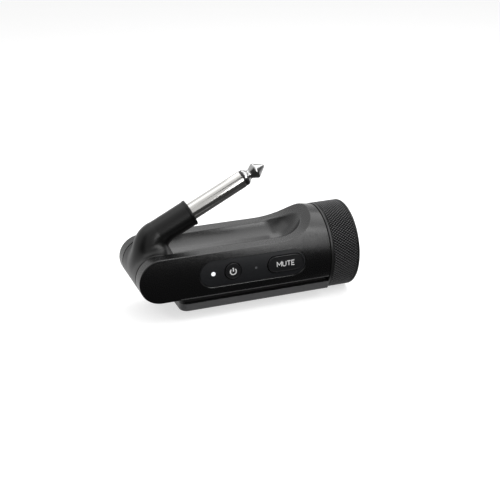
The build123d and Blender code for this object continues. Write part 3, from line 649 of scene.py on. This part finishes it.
# ---- buttons -----------------------------------------------------------------------------------
def pill_outline(x, half, radius, inset):
    """Points (x, z) round a pill or circle, shrunk by an inset, in even steps on each end."""
    end = arc(0.0, 0.0, radius - inset, -90, 90, 16)
    points = []
    for side in (1, -1):
        centre = x + side * (half - radius)
        points.extend((centre + side * px, STRIP_Z + side * pz) for px, pz in end)
    return points


def add_button(name, x, half, radius, body, node):
    """A button with a soft edge, a fine raised lip round it and a faintly dished face."""
    # Each loop is (how far in from the outline, how far below the body's side surface)
    lip, dish = BUTTON_TOP, BUTTON_TOP + 0.07
    loops = [(0.0, BUTTON_BACK), (0.0, lip + 0.16), (0.03, lip + 0.07), (0.09, lip + 0.02),
             (0.17, lip), (0.27, lip + 0.01), (0.36, lip + 0.05), (0.48, dish), (0.8, dish + 0.02),
             (1.4, dish + 0.04), (2.1, dish + 0.05), (2.7, dish + 0.05)]
    points, faces = [], []
    for inset, depth in loops:
        outline = pill_outline(x, half, radius, inset)
        points.extend((px, float(side_y(px, pz, depth)), pz) for px, pz in outline)
    columns = len(outline)
    faces.extend(grid_faces(len(loops), columns))
    faces.extend(cap_faces(0, columns))
    faces.extend(cap_faces((len(loops) - 1) * columns, columns))
    piece = make_object(name, placed(points), faces, smooth_angle=50.0, weld=0.000001)
    own(piece, BUTTON, body, node)


def cap_faces(start, columns):
    """Close a loop made of two mirrored halves with a ladder of quads."""
    half = columns // 2
    faces = []
    for n in range(half - 1):
        a, b = start + n, start + columns - 1 - n
        faces.append((a, a + 1, b - 1, b))
    return faces


add_button("power_cap", POWER_X, POWER_R, POWER_R, "power_key", "power_button")
add_button("mute_cap", MUTE_X, MUTE_HALF, MUTE_R, "mute_key", "mute_button")


# ---- prints ------------------------------------------------------------------------------------
# How far below the body's side the ink is laid, how thick it is, and how sharp a corner may be
INK_DEPTH, INK_THICK, SHARPEST = BUTTON_TOP + 0.11, 0.03, 0.4
SYMBOL_STROKE, LETTER_STROKE = 0.42, 0.3
LETTER_HEIGHT, LETTER_GAP = 1.75, 0.42


def add_print(name, strokes, x, width, body):
    """Raised ink: flat ribbons along strokes given as (x, z) points from a middle at x."""
    points, faces = [], []
    for stroke in strokes:
        add_ribbon(points, faces, stroke, x, width)
    ink = make_object(name, placed(points), faces, smooth_angle=40.0)
    own(ink, WHITE_PRINT, body)


def add_ribbon(points, faces, stroke, x, width):
    """Add one ribbon of even width, standing a little proud of the surface below it."""
    path = np.array(stroke, float)
    last = len(path) - 1
    start = len(points)
    top = INK_DEPTH - INK_THICK
    for n, here in enumerate(path):
        back, on = here - path[max(n - 1, 0)], path[min(n + 1, last)] - here
        back = back / np.linalg.norm(back) if np.any(back) else on / np.linalg.norm(on)
        on = on / np.linalg.norm(on) if np.any(on) else back
        along = back + on
        along /= np.linalg.norm(along)
        reach = width / 2 / max(float(along @ on), SHARPEST)
        side = np.array([-along[1], along[0]]) * reach
        for edge, level in ((side, INK_DEPTH), (side, top), (-side, top), (-side, INK_DEPTH)):
            px, pz = here + edge + (x, STRIP_Z)
            points.append((px, float(side_y(px, pz, level)), pz))
    for n in range(last):
        a, b = start + 4 * n, start + 4 * (n + 1)
        for k in range(4):
            faces.append((a + k, a + (k + 1) % 4, b + (k + 1) % 4, b + k))
    for a in (start, start + 4 * last):
        faces.append(tuple(a + k for k in range(4)))


def letter_strokes():
    """The word on the mute button as plain strokes, centred on its middle."""
    h = LETTER_HEIGHT / 2
    # Each letter is its width and its lines, with the height measured from the middle
    letters = [
        (1.7, [[(0, -h), (0, h), (0.85, -h * 0.35), (1.7, h), (1.7, -h)]]),
        (1.3, [[(0, h)] + arc(0.65, -h + 0.65, 0.65, 180, 360, 10) + [(1.3, h)]]),
        (1.35, [[(0, h), (1.35, h)], [(0.675, h), (0.675, -h)]]),
        (1.05, [[(1.05, h), (0, h), (0, -h), (1.05, -h)], [(0, 0), (0.9, 0)]]),
    ]
    total = sum(width for width, _ in letters) + LETTER_GAP * (len(letters) - 1)
    strokes, left = [], -total / 2
    for width, lines in letters:
        strokes.extend([(left + px, pz) for px, pz in line] for line in lines)
        left += width + LETTER_GAP
    return strokes


power_mark = [arc(0, -0.1, 1.12, 130, 410, 24), [(0, -0.1), (0, 1.35)]]
add_print("power_symbol", power_mark, POWER_X, SYMBOL_STROKE, "power_key")
add_print("mute_legend", letter_strokes(), MUTE_X, LETTER_STROKE, "mute_key")


# ---- studio ------------------------------------------------------------------------------------
# What the lights and the camera face, and how far from it they stand
LIGHT_TARGET, CAMERA_TARGET = Vector((30.0, 0.0, 0.0)), Vector((35.0, 0.0, 0.0))
DISTANCE = 400.0
# Each light: name, azimuth and elevation, half angles wide and high, radiance, roll. Angles are in
# degrees, and azimuth 0 is in front of the controls and turns towards the ring
SOFTBOXES = (
    ("overhead_left", -90.0, 66.0, 34.0, 22.0, 0.85, 0.0),
    ("overhead_right", 84.0, 64.0, 30.0, 23.0, 2.2, 0.0),
    ("back", 170.0, 52.0, 12.0, 12.0, 2.2, 0.0),
    ("front", -21.0, 25.0, 29.0, 23.0, 0.73, 0.0),
    ("key", 23.5, 35.0, 27.0, 8.0, 6.4, 62.5),
)


def softbox(name, azimuth, elevation, wide, high, radiance, roll):
    """A rectangular light that faces the object, by its direction, half angles and radiance."""
    turn, lift = math.radians(azimuth), math.radians(elevation)
    out = Vector((
        math.sin(turn) * math.cos(lift), -math.cos(turn) * math.cos(lift), math.sin(lift)
    ))
    data = bpy.data.lights.new(name, "AREA")
    data.shape = "RECTANGLE"
    data.size = 2 * DISTANCE * math.tan(math.radians(wide)) * MM
    data.size_y = 2 * DISTANCE * math.tan(math.radians(high)) * MM
    data.energy = radiance * math.pi * data.size * data.size_y
    light = bpy.data.objects.new(name, data)
    bpy.context.scene.collection.objects.link(light)
    light.location = (HINGE + LIGHT_TARGET + out * DISTANCE) * MM
    facing = (-out).to_track_quat("-Z", "Y").to_matrix()
    light.rotation_euler = (facing @ Matrix.Rotation(math.radians(roll), 3, "Z")).to_euler()
    light.visible_camera = False


def add_floor(half):
    """A pale matte floor at the level the object rests on, which throws no light back."""
    corners = [(-half, -half, 0), (half, -half, 0), (half, half, 0), (-half, half, 0)]
    floor = make_object("floor", corners, [(0, 1, 2, 3)])
    paper = new_material("floor_paper", (0.55, 0.55, 0.55), 0.9, 0.0, 0.0)
    shader = paper.node_tree.nodes["Principled BSDF"]
    shader.inputs["Emission Color"].default_value = (1, 1, 1, 1)
    shader.inputs["Emission Strength"].default_value = 0.6
    floor.data.materials.append(paper)
    floor.visible_diffuse = False
    floor.visible_glossy = False


def add_world(low, high, start, end):
    """A studio dome: dim in front of the object, bright behind it, with a soft change between."""
    world = bpy.data.worlds.new("studio")
    world.use_nodes = True
    tree = world.node_tree
    place = tree.nodes.new("ShaderNodeTexCoord")
    split = tree.nodes.new("ShaderNodeSeparateXYZ")
    tree.links.new(place.outputs["Generated"], split.inputs["Vector"])
    level = remap(tree, split.outputs["Y"], start, end, low, high, smooth=True)
    tree.links.new(level, tree.nodes["Background"].inputs["Strength"])
    tree.nodes["Background"].inputs["Color"].default_value = (1, 1, 1, 1)
    bpy.context.scene.world = world


add_floor(half=6.0)
add_world(low=0.05, high=0.95, start=-0.35, end=0.2)
for row in SOFTBOXES:
    softbox(*row)


# ---- camera ------------------------------------------------------------------------------------
def add_camera():
    """A camera at the height and turn of the product view, rolled a little."""
    turn, tilt, roll = math.radians(19.51), math.radians(22.19), math.radians(-1.2)
    forward = Vector(
        (math.sin(turn) * math.cos(tilt), math.cos(turn) * math.cos(tilt), -math.sin(tilt))
    )
    level = Vector((math.cos(turn), -math.sin(turn), 0.0))
    upright = level.cross(forward)
    right = math.cos(roll) * level + math.sin(roll) * upright
    up = -math.sin(roll) * level + math.cos(roll) * upright
    data = bpy.data.cameras.new("camera")
    data.sensor_width = 36.0
    data.lens = 77.47
    data.shift_x, data.shift_y = 0.0158, 0.0078
    data.clip_start, data.clip_end = 0.01, 20.0
    camera = bpy.data.objects.new("camera", data)
    bpy.context.scene.collection.objects.link(camera)
    camera.location = (HINGE + CAMERA_TARGET - forward * DISTANCE) * MM
    camera.rotation_euler = Matrix((right, up, -forward)).transposed().to_euler()
    bpy.context.scene.camera = camera


add_camera()
bpy.context.scene.view_settings.view_transform = "Standard"
